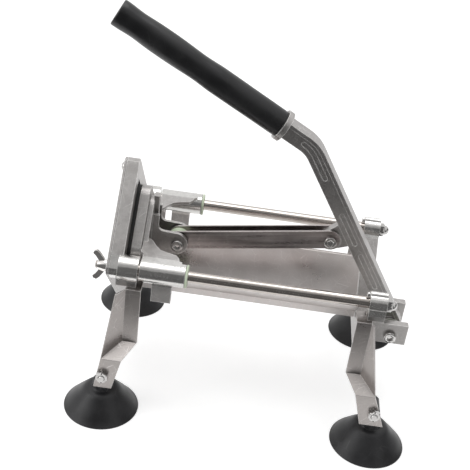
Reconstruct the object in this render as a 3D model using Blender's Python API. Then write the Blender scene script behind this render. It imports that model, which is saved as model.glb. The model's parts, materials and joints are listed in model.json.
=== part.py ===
# Lever press that pushes a potato through a square grid of blades.
# Metres, +Z up. X runs along the guide rods from the blade end to the handle pivot.
# In the layout x = 0 is a plane inside the blade frame, y = 0 the middle plane and
# z = 0 the rods' axes. The last step stands the whole model on its origin.
import math

import bmesh
import bpy
from mathutils import Matrix, Vector

# Clearances and smoothness
seat_gap = 0.0003
running_gap = 0.00005
cut_overrun = 0.001
casting_step = 0.0004
round_steps = 16
fine_steps = 24
turning_steps = 32
nut_steps = 12
bend_steps = 6
groove_steps = 4

# Guide rods
rod_spacing = 0.150
rod_radius = 0.006
rod_height = 0.163
stud_radius = 0.004
front_stud_spare = 0.0022

# Blade frame, a square plate standing on one corner
frame_side = 0.1255
frame_depth = 0.013
frame_back = 0.003
frame_corner_flat = 0.008
window_side = 0.0895
cover_window_side = 0.0875
cover_thickness = 0.0025
boss_radius = 0.014
boss_length = 0.0195
pad_half_width = 0.012
pad_height = 0.010
cover_screw_place = 0.0755
cover_screw_grip = 0.007

# Blade grid
holder_side = 0.098
holder_depth = 0.0078
grid_cells = 9
blade_pitch = 0.0098
blade_thickness = 0.0008

# Pusher
stroke_gap = 0.0015
tooth_plate_start = 0.001
tooth_plate_depth = 0.0051
block_side = 0.086
block_depth = 0.0106
block_corner_radius = 0.015
peg_side = 0.0074
peg_length = 0.009
back_plate_side = 0.070
back_plate_depth = 0.0047
sleeve_radius = 0.012
sleeve_length = 0.046
bush_wall = 0.002
bush_flange = 0.0024
web_thickness = 0.0036
web_front_inner = 0.0265
web_front_outer = 0.0575
web_rear_setback = 0.005
tab_length = 0.0205
tab_thickness = 0.008
tab_drop = 0.0335
tab_setback = 0.0126
rib_half_width = 0.0045
rib_depth = 0.0050
rib_height = 0.048
block_screw_place = 0.028
block_screw_drop = 0.008
block_screw_grip = 0.006

# Clevis ears on the pusher
ear_inner = 0.009
ear_thickness = 0.0035
ear_post_height = 0.030
ear_post_depth = 0.007
ear_radius = 0.0129
ear_nose_back = 0.0022
ear_nose_rise = 0.0007
ear_shoulder = 0.011
ear_fillet = 0.0055
clevis_setback = 0.0163
clevis_drop = 0.0033

# Link, a channel open at the top
link_half_width = 0.007
link_wall = 0.002
link_radius = 0.0106
link_rise = 0.0022
link_end_gap = 0.017
pin_radius = 0.004
roller_radius = 0.0118

# Handle
pivot_back = 0.021
pivot_drop = 0.074
crank_back = 0.0817
crank_rise = 0.0977
arm_width = 0.0185
arm_half_thickness = 0.007
arm_lean = math.radians(31.4)
arm_offset = 0.0055
knee_reach = 0.2330
knee_bend_radius = 0.038
grip_lean = math.radians(61.4)
neck_length = 0.036
flange_depth = 0.0042
flange_half_width = 0.010
hub_radius = 0.013
hub_half_width = 0.011
lug_radius = 0.0115
lug_half_width = 0.0046
lug_root = 0.016
groove_half_width = 0.0024
groove_depth = 0.0011
groove_front = 0.0015
collar_radius = 0.0164
collar_thickness = 0.0045
tang_radius = 0.008
tang_length = 0.060
tube_wall = 0.002
tube_length = 0.182
grip_wall = 0.0034
grip_spare = 0.0098
grip_end = 0.005

# Rear frame
bed_length = 0.254
clamp_length = 0.018
clamp_radius = 0.0115
clamp_boss_radius = 0.004
clamp_boss_rise = 0.0095
clamp_screw_grip = 0.010
yoke_wall = 0.0134
yoke_top_drop = 0.0008
yoke_block_half_width = 0.028
yoke_block_drop = 0.091
pivot_ear_inner = 0.018
pivot_ear_thickness = 0.008
pivot_ear_rise = 0.016
pivot_ear_fall = 0.009
pivot_ear_reach = 0.018
pivot_bolt_radius = 0.005
washer_radius = 0.0095

# Tray, a folded sheet in the shape of a V
tray_sheet = 0.0015
tray_step = 0.0003
tray_top_drop = 0.0205
tray_lip = 0.0035
keel_drop = 0.0065

# Legs, pressed from sheet; "out" is away from the middle of the machine
leg_sheet = 0.002
leg_face = 0.0915
front_leg_inset = 0.0022
rear_leg_inset = 0.002
strap_half_width = 0.00775
joggle_fall = 0.011
tab_fall = 0.038
tab_rise = 0.034
foot_face = 0.112
front_foot_inner_top = 0.0048
front_foot_outer_top = 0.026
front_foot_inner_bottom = 0.0133
front_foot_outer_bottom = 0.0323
rear_foot_inner_top = 0.004
rear_foot_outer_top = 0.0246
rear_foot_inner_bottom = 0.0145
rear_foot_outer_bottom = 0.0394
front_wing_share = 0.42
rear_wing_share = 0.10
leg_flange = 0.0203
leg_screw_inset = 0.0160
leg_screw_out = 0.0035
leg_screw_grip = 0.005

# Suction cups
front_cup_out = 0.0247
rear_cup_out = 0.0284
cup_radius = 0.0398
cup_neck_radius = 0.010
cup_neck_top = 0.036
cup_tongue_half_width = 0.0065
cup_tongue_foot = 0.022
cup_lip = 0.0012
cup_dome = 0.0265
cup_hollow = 0.0035
cup_seat = 0.006
cup_steps = 32
cup_tongue_steps = 10
front_foot_bolt_out = 0.0233
rear_foot_bolt_out = 0.0272
foot_bolt_rise = 0.0505
foot_bolt_radius = 0.003

# Screws, nuts and pins
small_screw_radius = 0.0024
thin_screw_radius = 0.0018
thin_head_radius = 0.0026
screw_head_radius = 0.0050
screw_head_height = 0.0028
bolt_head_radius = 0.0066
bolt_head_height = 0.0040
socket_radius = 0.0030
socket_depth = 0.0022
nut_half_width = 0.0060
nut_height = 0.0048
nut_spare = 0.0015
acorn_half_width = 0.0064
acorn_hex = 0.0055
acorn_dome = 0.0055
acorn_crown = 0.0010
wing_hub_radius = 0.0064
wing_hub_tip = 0.0048
wing_hub_length = 0.0095
wing_reach = 0.0175
wing_half_thickness = 0.0014

# Places worked out from the sizes above
root_two = math.sqrt(2)
rod_y = rod_spacing / 2
frame_front = frame_back - frame_depth
block_half = block_side / 2
tooth_plate_end = tooth_plate_start + tooth_plate_depth
block_start = tooth_plate_end + seat_gap
block_back = block_start + block_depth
plate_start = block_back + seat_gap
plate_end = plate_start + back_plate_depth
sleeve_start = boss_length + stroke_gap
sleeve_end = sleeve_start + sleeve_length
bush_radius = rod_radius + bush_wall
bush_end = sleeve_end + seat_gap + bush_flange
clamp_end = bed_length + clamp_length
seat_end = frame_front + holder_depth + seat_gap
rod_front = seat_end + casting_step
cover_back = frame_front - seat_gap
cover_front = cover_back - cover_thickness
ear_outer = ear_inner + ear_thickness
tray_inner_drop = window_side / root_two + tray_step
tray_outer_drop = tray_inner_drop + tray_sheet * root_two
pad_drop = boss_radius
leg_top = -pad_drop - seat_gap
front_leg_place = boss_length - front_leg_inset
rear_leg_place = bed_length - rear_leg_inset
front_foot = (
    front_foot_inner_top, front_foot_outer_top,
    front_foot_inner_bottom, front_foot_outer_bottom, front_foot_bolt_out,
)
rear_foot = (
    rear_foot_inner_top, rear_foot_outer_top,
    rear_foot_inner_bottom, rear_foot_outer_bottom, rear_foot_bolt_out,
)
grip_radius = tang_radius + seat_gap + tube_wall + seat_gap + grip_wall
pivot = Vector((clamp_end + pivot_back, 0, -pivot_drop))
crank = Vector((pivot.x - crank_back, 0, pivot.z + crank_rise))
clevis = Vector((sleeve_end - clevis_setback, 0, -clevis_drop))
along_x = Vector((1, 0, 0))
along_y = Vector((0, 1, 0))
along_z = Vector((0, 0, 1))

paints = {
    "cast": ((0.52, 0.51, 0.49), 0.45, 0.9),
    "sheet": ((0.48, 0.46, 0.44), 0.32, 1.0),
    "polished": ((0.62, 0.61, 0.60), 0.12, 1.0),
    "dark_sheet": ((0.34, 0.31, 0.30), 0.35, 1.0),
    "rubber": ((0.012, 0.012, 0.013), 0.45, 0.0),
    "plastic": ((0.014, 0.014, 0.015), 0.60, 0.0),
    "nylon": ((0.72, 0.80, 0.62), 0.45, 0.0),
    "blade": ((0.60, 0.60, 0.61), 0.18, 1.0),
}
holders = {}

# Places along a piece as shares of its length and width
groove_shares = {"low": (0.20, 0.36), "middle": (0.42, 0.56), "high": (0.733, 0.905)}
web_curve_shares = [
    (0.203, 0.157), (0.318, 0.355), (0.436, 0.489), (0.623, 0.565),
    (0.817, 0.617), (0.90, 0.715), (0.93, 0.827), (1.0, 0.86),
]

# Round profiles as shares of their radius and height or length
cup_shares = [(0.86, 0.23), (0.67, 0.46), (0.48, 0.68), (0.35, 0.85), (0.24, 0.96), (0.12, 1.0)]
button_head_shares = [(0.45, 0.93), (0.85, 0.50), (1.0, 0.0)]
grip_shares = [
    (0.99, 0.0), (0.99, 0.20), (1.0, 0.40), (0.965, 0.46), (0.94, 0.51), (0.955, 0.56),
    (0.98, 0.61), (1.0, 0.70), (0.99, 0.78), (0.955, 0.84), (0.935, 0.885), (0.96, 0.93),
    (0.985, 0.965), (0.985, 0.995), (0.93, 1.0),
]
wing_shares = [
    (0.25, 0.25), (0.44, 0.30), (0.82, 0.75), (1.0, 1.10),
    (0.94, 1.42), (0.78, 1.53), (0.60, 1.21), (0.25, 0.82),
]
small_socket_share = 0.8
thin_socket_share = 0.7


# Scene, materials and holders

def clean_scene():
    for thing in list(bpy.data.objects):
        bpy.data.objects.remove(thing, do_unlink=True)


def finish_for(name):
    material = bpy.data.materials.get(name) or bpy.data.materials.new(name)
    colour, roughness, metallic = paints[name]
    material.use_nodes = True
    shader = material.node_tree.nodes["Principled BSDF"]
    shader.inputs["Base Color"].default_value = (*colour, 1)
    shader.inputs["Roughness"].default_value = roughness
    shader.inputs["Metallic"].default_value = metallic
    return material


def add_holder(name, place, parent=None):
    empty = bpy.data.objects.new("holder_" + name, None)
    bpy.context.collection.objects.link(empty)
    origin = Vector(place)
    if parent:
        empty.parent = holders[parent][0]
        empty.location = origin - holders[parent][1]
    else:
        empty.location = origin
    holders[name] = (empty, origin)


def as_object(name, shape, holder):
    empty, origin = holders[holder]
    bmesh.ops.recalc_face_normals(shape, faces=shape.faces)
    bmesh.ops.translate(shape, verts=shape.verts, vec=-origin)
    mesh = bpy.data.meshes.new(name)
    shape.to_mesh(mesh)
    shape.free()
    mesh.shade_smooth()
    mesh.set_sharp_from_angle(angle=math.radians(35))
    thing = bpy.data.objects.new(name, mesh)
    thing.parent = empty
    bpy.context.collection.objects.link(thing)
    return thing


def piece(name, shape, paint, holder="base"):
    thing = as_object(name, shape, holder)
    thing["holder"] = holder
    thing.data.materials.append(finish_for(paint))
    return thing


def combine(thing, shapes, operation):
    label = f"{operation.lower()}_{len(thing.modifiers)}_{thing.name}"
    tool = as_object(label, together(*shapes), thing["holder"])
    tool.hide_render = True
    tool.display_type = "WIRE"
    modifier = thing.modifiers.new(label, "BOOLEAN")
    modifier.operation = operation
    modifier.use_self = len(shapes) > 1
    modifier.object = tool


def join(thing, *shapes):
    combine(thing, shapes, "UNION")


def cut(thing, *shapes):
    combine(thing, shapes, "DIFFERENCE")


# Shapes

def prism(outline, axis, low, high):
    shape = bmesh.new()
    rings = []
    for level in (low, high):
        places = {
            "x": [(level, a, b) for a, b in outline],
            "y": [(a, level, b) for a, b in outline],
            "z": [(a, b, level) for a, b in outline],
        }[axis]
        rings.append([shape.verts.new(place) for place in places])
    shape.faces.new(rings[0])
    shape.faces.new(rings[1])
    count = len(outline)
    for index in range(count):
        after = (index + 1) % count
        shape.faces.new((rings[0][index], rings[0][after], rings[1][after], rings[1][index]))
    return shape


def box(low, high):
    outline = [(low[0], low[1]), (high[0], low[1]), (high[0], high[1]), (low[0], high[1])]
    return prism(outline, "z", low[2], high[2])


def radius_at(reach, angle):
    # A plain number is round, and ("hex", half width) has six flats
    if isinstance(reach, tuple):
        sixth = math.pi / 3
        return reach[1] / math.cos((angle + sixth / 2) % sixth - sixth / 2)
    return reach


def turned(profile, centre, axis, steps=round_steps):
    # The profile is a closed loop of (radius, distance along the axis)
    shape = bmesh.new()
    turn = along_z.rotation_difference(axis).to_matrix()
    rings = []
    for reach, along in profile:
        if reach == 0:
            rings.append([shape.verts.new(Vector(centre) + turn @ Vector((0, 0, along)))])
            continue
        ring = []
        for step in range(steps):
            angle = 2 * math.pi * step / steps
            radius = radius_at(reach, angle)
            spot = Vector((radius * math.cos(angle), radius * math.sin(angle), along))
            ring.append(shape.verts.new(Vector(centre) + turn @ spot))
        rings.append(ring)
    for index, ring in enumerate(rings):
        follower = rings[(index + 1) % len(rings)]
        for step in range(steps):
            after = (step + 1) % steps
            corners = [ring[step % len(ring)], ring[after % len(ring)]]
            corners += [follower[after % len(follower)], follower[step % len(follower)]]
            corners = list(dict.fromkeys(corners))
            if len(corners) > 2:
                shape.faces.new(corners)
    return shape


def rod(radius, centre, axis, low, high, steps=round_steps):
    return turned([(0, low), (radius, low), (radius, high), (0, high)], centre, axis, steps)


def pipe(outer, inner, centre, axis, low, high, steps=round_steps):
    return turned([(inner, low), (outer, low), (outer, high), (inner, high)], centre, axis, steps)


def together(*shapes):
    whole = shapes[0]
    for other in shapes[1:]:
        copies = {spot: whole.verts.new(spot.co) for spot in other.verts}
        for face in other.faces:
            whole.faces.new([copies[spot] for spot in face.verts])
        other.free()
    return whole


def diamond(half_side):
    reach = half_side * root_two
    return [(0, -reach), (reach, 0), (0, reach), (-reach, 0)]


def flat_cornered_diamond(half_side, flat):
    reach = half_side * root_two
    half = flat / 2
    quarter = [(half, half - reach), (reach - half, -half)]
    outline = []
    for turn in range(4):
        quarter_turn = Matrix.Rotation(turn * math.pi / 2, 2)
        outline += [tuple(quarter_turn @ Vector(spot)) for spot in quarter]
    return outline


def round_cornered_diamond(half_side, radius, steps=6):
    outline = []
    for corner in range(4):
        middle = corner * math.pi / 2 - math.pi / 2
        centre = Vector((math.cos(middle), math.sin(middle))) * (half_side - radius) * root_two
        for step in range(steps + 1):
            angle = middle + (step / steps - 1 / 2) * math.pi / 2
            outline.append(tuple(centre + Vector((math.cos(angle), math.sin(angle))) * radius))
    return outline


def arc(centre, radius, start, stop, steps):
    spots = []
    for step in range(steps + 1):
        angle = start + (stop - start) * step / steps
        spots.append((centre[0] + radius * math.cos(angle), centre[1] + radius * math.sin(angle)))
    return spots


def socket_bolt(shank, grip, head, height, socket, depth):
    # Head below zero, shank above
    return [
        (0, -height + depth), (socket, -height + depth), (socket, -height), (head, -height),
        (head, 0), (shank, 0), (shank, grip), (0, grip),
    ]


def hex_nut(hole):
    flats = ("hex", nut_half_width)
    return [(hole, 0), (flats, 0), (flats, nut_height), (hole, nut_height)]


# Blade end

def make_front_frame():
    outline = flat_cornered_diamond(frame_side / 2, frame_corner_flat)
    frame = piece("front_frame", prism(outline, "x", frame_front, frame_back), "cast")
    bosses = []
    holes = leg_screw_holes(front_leg_place, -1)
    rod_ends = (rod_front - seat_gap, boss_length + cut_overrun)
    stud_ends = (frame_front - cut_overrun, rod_front)
    screw_ends = (frame_front - cut_overrun, frame_front + cover_screw_grip)
    for side in (-1, 1):
        line = (0, side * rod_y, 0)
        bosses.append(rod(boss_radius, line, along_x, -cut_overrun, boss_length, fine_steps))
        holes.append(rod(rod_radius + seat_gap, line, along_x, *rod_ends))
        holes.append(rod(stud_radius + seat_gap, line, along_x, *stud_ends))
        low = (-2 * cut_overrun, side * rod_y - pad_half_width, -pad_drop)
        high = (boss_length - casting_step, side * rod_y + pad_half_width, pad_height - pad_drop)
        bosses.append(box(low, high))
        line = (0, 0, side * cover_screw_place)
        holes.append(rod(small_screw_radius + seat_gap, line, along_x, *screw_ends))
    join(frame, *bosses)
    window_ends = (frame_front - 2 * cut_overrun, frame_back + cut_overrun)
    holes.append(prism(diamond(window_side / 2), "x", *window_ends))
    seat = diamond(holder_side / 2 + seat_gap)
    holes.append(prism(seat, "x", frame_front - cut_overrun, seat_end))
    cut(frame, *holes)


def leg_screw_holes(place, way):
    holes = []
    for side in (-1, 1):
        line = (place + way * leg_screw_out, side * (leg_face - leg_screw_inset), -pad_drop)
        depth = leg_screw_grip + seat_gap
        holes.append(rod(small_screw_radius + seat_gap, line, along_z, -cut_overrun, depth))
    return holes


def make_cover():
    outline = flat_cornered_diamond(frame_side / 2, frame_corner_flat)
    cover = piece("cover_plate", prism(outline, "x", cover_front, cover_back), "cast")
    ends = (cover_front - cut_overrun, cover_back + cut_overrun)
    holes = [prism(diamond(cover_window_side / 2), "x", *ends)]
    for side in (-1, 1):
        stud_line = (0, side * rod_y, 0)
        screw_line = (0, 0, side * cover_screw_place)
        holes.append(rod(stud_radius + seat_gap, stud_line, along_x, *ends))
        holes.append(rod(small_screw_radius + seat_gap, screw_line, along_x, *ends))
    cut(cover, *holes)
    for name, side in (("cover_screw_bottom", -1), ("cover_screw_top", 1)):
        head = (cover_front - seat_gap, 0, side * cover_screw_place)
        grip = cover_thickness + seat_gap + cover_screw_grip
        profile = [(0, -screw_head_height)]
        for reach, rise in button_head_shares:
            profile.append((screw_head_radius * reach, -screw_head_height * rise))
        profile += [(small_screw_radius, 0), (small_screw_radius, grip), (0, grip)]
        piece(name, turned(profile, head, along_x), "polished")


def make_blade_grid():
    # A lattice of cells in a square ring, cut as one closed body
    cells = grid_cells * blade_pitch
    marks = [-holder_side / 2, -cells / 2]
    for blade in range(1, grid_cells):
        middle = blade * blade_pitch - cells / 2
        marks += [middle - blade_thickness / 2, middle + blade_thickness / 2]
    marks += [cells / 2, holder_side / 2]
    spans = len(marks) - 1
    shape = bmesh.new()
    corners = {}

    def corner(column, row, level):
        key = (column, row, level)
        if key not in corners:
            across = (marks[column] - marks[row]) / root_two
            upward = (marks[column] + marks[row]) / root_two
            depth = frame_front + level * holder_depth
            corners[key] = shape.verts.new((depth, across, upward))
        return corners[key]

    def is_open(column, row):
        inside = 0 < column < spans - 1 and 0 < row < spans - 1
        return inside and column % 2 == 1 and row % 2 == 1

    def is_metal(column, row):
        return 0 <= column < spans and 0 <= row < spans and not is_open(column, row)

    for column in range(spans):
        for row in range(spans):
            if not is_metal(column, row):
                continue
            ring = [(column, row), (column + 1, row), (column + 1, row + 1), (column, row + 1)]
            for level in (0, 1):
                shape.faces.new([corner(*spot, level) for spot in ring])
            neighbours = [(column, row - 1), (column + 1, row), (column, row + 1), (column - 1, row)]
            for edge, neighbour in enumerate(neighbours):
                if not is_metal(*neighbour):
                    start, stop = ring[edge], ring[(edge + 1) % 4]
                    wall = [corner(*start, 0), corner(*stop, 0), corner(*stop, 1), corner(*start, 1)]
                    shape.faces.new(wall)
    piece("blade_grid", shape, "blade")


def make_wing_nut(name, side):
    start = cover_front - seat_gap
    centre = (start, side * rod_y, 0)
    holder = "wing_near" if side < 0 else "wing_far"
    hole = stud_radius + running_gap
    profile = [
        (hole, 0), (wing_hub_radius, 0), (wing_hub_radius, -wing_hub_length / 3),
        (wing_hub_tip, -wing_hub_length), (hole, -wing_hub_length),
    ]
    nut = piece(name, turned(profile, centre, along_x, fine_steps), "polished", holder)
    low = side * rod_y - wing_half_thickness
    high = side * rod_y + wing_half_thickness
    wings = []
    for way in (-1, 1):
        outline = []
        for out, along in wing_shares:
            outline.append((start - wing_hub_length * along, way * wing_reach * out))
        wings.append(prism(outline, "y", low, high))
    join(nut, *wings)


# Rods

def make_rods():
    stud_front = cover_front - seat_gap - wing_hub_length - front_stud_spare
    nut_start = clamp_end + seat_gap
    stud_back = nut_start + acorn_hex + acorn_dome / 2
    for side, word in ((-1, "near"), (1, "far")):
        line = (0, side * rod_y, 0)
        profile = [
            (0, stud_front), (stud_radius, stud_front), (stud_radius, rod_front),
            (rod_radius, rod_front), (rod_radius, clamp_end), (stud_radius, clamp_end),
            (stud_radius, stud_back), (0, stud_back),
        ]
        piece(f"guide_rod_{word}", turned(profile, line, along_x, fine_steps), "polished")
        hole = stud_radius + seat_gap
        bottom = stud_back + seat_gap
        flats = ("hex", acorn_half_width)
        hex_end = nut_start + acorn_hex
        dome = []
        for step in range(5):
            angle = step * math.pi / 10
            radius = (acorn_half_width - acorn_crown) * math.cos(angle)
            dome.append((radius, hex_end + acorn_dome * math.sin(angle)))
        tip = hex_end + acorn_dome
        profile = [(hole, nut_start), (flats, nut_start), (flats, hex_end), *dome, (0, tip)]
        profile += [(0, bottom), (hole, bottom)]
        piece(f"acorn_nut_{word}", turned(profile, line, along_x, fine_steps), "polished")
        make_wing_nut(f"wing_nut_{word}", side)


# Tray

def make_tray():
    top = tray_inner_drop - tray_top_drop
    under = tray_outer_drop - tray_top_drop - tray_sheet
    lip = top + tray_lip
    half = [
        (top, -tray_top_drop), (lip, -tray_top_drop), (lip, -tray_top_drop - tray_sheet),
        (under, -tray_top_drop - tray_sheet), (tray_sheet, tray_sheet - tray_outer_drop),
        (tray_sheet, -tray_outer_drop - keel_drop),
    ]
    outline = [(0, -tray_inner_drop)] + half + [(-across, up) for across, up in reversed(half)]
    ends = (frame_back + seat_gap, bed_length - seat_gap)
    piece("tray", prism(outline, "x", *ends), "sheet")


# Rear frame

def make_rear_frame():
    inner = tray_outer_drop + seat_gap
    outer = inner + yoke_wall * root_two
    pad_out = rod_y + pad_half_width
    pad_in = outer - pad_drop
    top = inner - yoke_top_drop
    half = [
        (top, -yoke_top_drop), (pad_out, -yoke_top_drop), (pad_out, -pad_drop), (pad_in, -pad_drop),
        (yoke_block_half_width, yoke_block_half_width - outer),
        (yoke_block_half_width, -yoke_block_drop),
    ]
    outline = [(0, -inner)] + half + [(-across, up) for across, up in reversed(half)]
    yoke = prism(outline, "x", bed_length + casting_step, clamp_end - casting_step)
    frame = piece("rear_frame", yoke, "cast")
    lumps = []
    ends = (bed_length - cut_overrun, clamp_end + cut_overrun)
    screw_ends = (bed_length - cut_overrun, bed_length + clamp_screw_grip + seat_gap)
    holes = leg_screw_holes(rear_leg_place, 1)
    for side in (-1, 1):
        line = (0, side * rod_y, 0)
        lumps.append(rod(clamp_radius, line, along_x, bed_length, clamp_end, fine_steps))
        holes.append(rod(rod_radius + seat_gap, line, along_x, *ends))
        line = (0, side * rod_y, clamp_boss_rise)
        half_step = casting_step / 2
        boss_ends = (bed_length + half_step, clamp_end - half_step)
        lumps.append(rod(clamp_boss_radius, line, along_x, *boss_ends))
        holes.append(rod(thin_screw_radius + seat_gap, line, along_x, *screw_ends))
        ear = sorted((side * pivot_ear_inner, side * (pivot_ear_inner + pivot_ear_thickness)))
        low = (clamp_end - cut_overrun, ear[0], pivot.z - pivot_ear_fall)
        high = (pivot.x + pivot_ear_reach, ear[1], pivot.z + pivot_ear_rise)
        lumps.append(box(low, high))
    join(frame, *lumps)
    reach = pivot_ear_inner + pivot_ear_thickness + cut_overrun
    holes.append(rod(pivot_bolt_radius + seat_gap, pivot, along_y, -reach, reach))
    cut(frame, *holes)
    for side, word in ((-1, "near"), (1, "far")):
        line = (bed_length - seat_gap, side * rod_y, clamp_boss_rise)
        profile = socket_bolt(
            thin_screw_radius, seat_gap + clamp_screw_grip, thin_head_radius,
            screw_head_height, thin_screw_radius * thin_socket_share, socket_depth / 2,
        )
        piece(f"clamp_screw_{word}", turned(profile, line, along_x), "polished")


# Legs and feet

def make_leg(name, place, way, side, foot_sizes, wing_share):
    inner_top, outer_top, inner_bottom, outer_bottom, bolt_out = foot_sizes
    top = leg_top
    foot = tab_rise - rod_height
    shelf = foot + tab_fall
    bend = shelf + joggle_fall
    wing_out = strap_half_width + (outer_top - strap_half_width) * wing_share
    wing_face = leg_face + (foot_face - leg_face) * wing_share
    spots = {
        "strap_in_top": (-strap_half_width, leg_face, top),
        "strap_out_top": (strap_half_width, leg_face, top),
        "strap_in_bend": (-strap_half_width, leg_face, bend),
        "strap_out_bend": (strap_half_width, leg_face, bend),
        "foot_in_top": (inner_top, foot_face, shelf),
        "foot_out_top": (outer_top, foot_face, shelf),
        "foot_in_end": (inner_bottom, foot_face, foot),
        "foot_out_end": (outer_bottom, foot_face, foot),
        "wing_top": (wing_out, wing_face, top - leg_sheet),
        "flange_in": (-strap_half_width, leg_face - leg_flange, top),
        "flange_out": (strap_half_width, leg_face - leg_flange, top),
    }
    panels = [
        ("strap_in_top", "strap_in_bend", "strap_out_bend", "strap_out_top"),
        ("strap_out_top", "strap_out_bend", "foot_out_top", "wing_top"),
        ("strap_out_bend", "strap_in_bend", "foot_in_top", "foot_out_top"),
        ("foot_out_top", "foot_in_top", "foot_in_end", "foot_out_end"),
        ("strap_in_top", "strap_out_top", "flange_out", "flange_in"),
    ]
    shape = bmesh.new()
    corners = {}
    for key, (out, face, height) in spots.items():
        corners[key] = shape.verts.new((place + way * out, side * face, height))
    for panel in panels:
        order = panel if way * side < 0 else panel[::-1]
        shape.faces.new([corners[key] for key in order])
    leg = sheet_piece(name, shape, "sheet")
    hole_line = (place + way * bolt_out, side * foot_face, foot_bolt_rise - rod_height)
    reach = leg_sheet + cut_overrun
    cut(leg, rod(foot_bolt_radius + seat_gap, hole_line, along_y, -reach, reach))
    line = (place + way * leg_screw_out, side * (leg_face - leg_screw_inset), leg_top)
    cut(leg, rod(small_screw_radius + seat_gap, line, along_z, -reach, cut_overrun))


def sheet_piece(name, shape, paint):
    mesh = bpy.data.meshes.new(name)
    shape.to_mesh(mesh)
    shape.free()
    leg = bpy.data.objects.new(name, mesh)
    leg.parent = holders["base"][0]
    leg["holder"] = "base"
    bpy.context.collection.objects.link(leg)
    leg.data.materials.append(finish_for(paint))
    solid = leg.modifiers.new("sheet", "SOLIDIFY")
    solid.thickness = leg_sheet
    solid.offset = -1
    solid.use_even_offset = True
    return leg


def make_cup(name, centre, bolt_x):
    # A dome on a round neck, with a flat tongue on top for the foot bolt
    span = cup_radius - cup_neck_radius
    profile = [
        (0, cup_hollow), (cup_neck_radius, cup_hollow), (cup_radius - cup_seat, 0),
        (cup_radius, 0), (cup_radius, cup_lip),
    ]
    for out, rise in cup_shares:
        profile.append((cup_neck_radius + span * out, cup_dome * rise))
    profile += [(cup_neck_radius, cup_dome), (cup_neck_radius, cup_neck_top), (0, cup_neck_top)]
    cup = piece(name, turned(profile, centre, along_z, cup_steps), "rubber")
    line = (bolt_x, centre[1], centre[2] + foot_bolt_rise)
    foot = centre[2] + cup_tongue_foot
    outline = [(bolt_x + cup_tongue_half_width, foot)]
    outline += arc((bolt_x, line[2]), cup_tongue_half_width, 0, math.pi, cup_tongue_steps)
    outline += [(bolt_x - cup_tongue_half_width, foot)]
    low, high = centre[1] - cup_neck_radius, centre[1] + cup_neck_radius
    join(cup, prism(outline, "y", low, high))
    reach = cup_neck_radius + cut_overrun
    cut(cup, rod(foot_bolt_radius + seat_gap, line, along_y, -reach, reach))


def make_feet():
    cup_y = foot_face - leg_sheet - seat_gap - cup_neck_radius
    ends = (
        ("front", front_leg_place, -1, front_foot, front_wing_share, front_cup_out),
        ("rear", rear_leg_place, 1, rear_foot, rear_wing_share, rear_cup_out),
    )
    for end, place, way, foot_sizes, wing_share, cup_out in ends:
        for word, side in (("near", -1), ("far", 1)):
            make_leg(f"leg_{end}_{word}", place, way, side, foot_sizes, wing_share)
            bolt_x = place + way * foot_sizes[-1]
            centre = (place + way * cup_out, side * cup_y, -rod_height)
            make_cup(f"suction_cup_{end}_{word}", centre, bolt_x)
            inner = side * (cup_y - cup_neck_radius - seat_gap)
            line = (bolt_x, inner, foot_bolt_rise - rod_height)
            grip = 2 * (cup_neck_radius + seat_gap) + leg_sheet + seat_gap + nut_height + nut_spare
            profile = socket_bolt(
                foot_bolt_radius, grip, screw_head_radius, bolt_head_height,
                socket_radius * small_socket_share, socket_depth,
            )
            piece(f"foot_bolt_{end}_{word}", turned(profile, line, side * along_y), "polished")
            line = (bolt_x, side * (foot_face + seat_gap), foot_bolt_rise - rod_height)
            nut = turned(hex_nut(foot_bolt_radius + seat_gap), line, side * along_y, nut_steps)
            piece(f"foot_nut_{end}_{word}", nut, "polished")
            line = (place + way * leg_screw_out, side * (leg_face - leg_screw_inset))
            line += (leg_top - leg_sheet - seat_gap,)
            grip = leg_sheet + 2 * seat_gap + leg_screw_grip
            profile = socket_bolt(
                small_screw_radius, grip, screw_head_radius, screw_head_height,
                small_screw_radius * small_socket_share, socket_depth / 2,
            )
            piece(f"leg_screw_{end}_{word}", turned(profile, line, along_z), "polished")


# Pusher

def make_toothed_plate():
    outline = round_cornered_diamond(block_half, block_corner_radius)
    body = prism(outline, "x", tooth_plate_start, tooth_plate_end)
    plate = piece("toothed_plate", body, "plastic", "pusher")
    pegs = []
    middle = (grid_cells - 1) / 2
    edge = block_half - block_corner_radius
    quarter_turn = Matrix.Rotation(math.pi / 4, 4, "X")
    for column in range(grid_cells):
        for row in range(grid_cells):
            across = (column - middle) * blade_pitch
            upward = (row - middle) * blade_pitch
            if abs(across) > edge and abs(upward) > edge:
                continue
            half = peg_side / 2
            low = (tooth_plate_start - peg_length, across - half, upward - half)
            high = (tooth_plate_start + cut_overrun, across + half, upward + half)
            peg = box(low, high)
            bmesh.ops.transform(peg, matrix=quarter_turn, verts=peg.verts)
            pegs.append(peg)
    join(plate, *pegs)


def make_push_block():
    outline = round_cornered_diamond(block_half, block_corner_radius)
    block = piece("push_block", prism(outline, "x", block_start, block_back), "cast", "pusher")
    holes = []
    for side in (-1, 1):
        line = (0, side * block_screw_place, -block_screw_drop)
        ends = (block_back - block_screw_grip - seat_gap, block_back + cut_overrun)
        holes.append(rod(small_screw_radius + seat_gap, line, along_x, *ends))
    cut(block, *holes)


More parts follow.
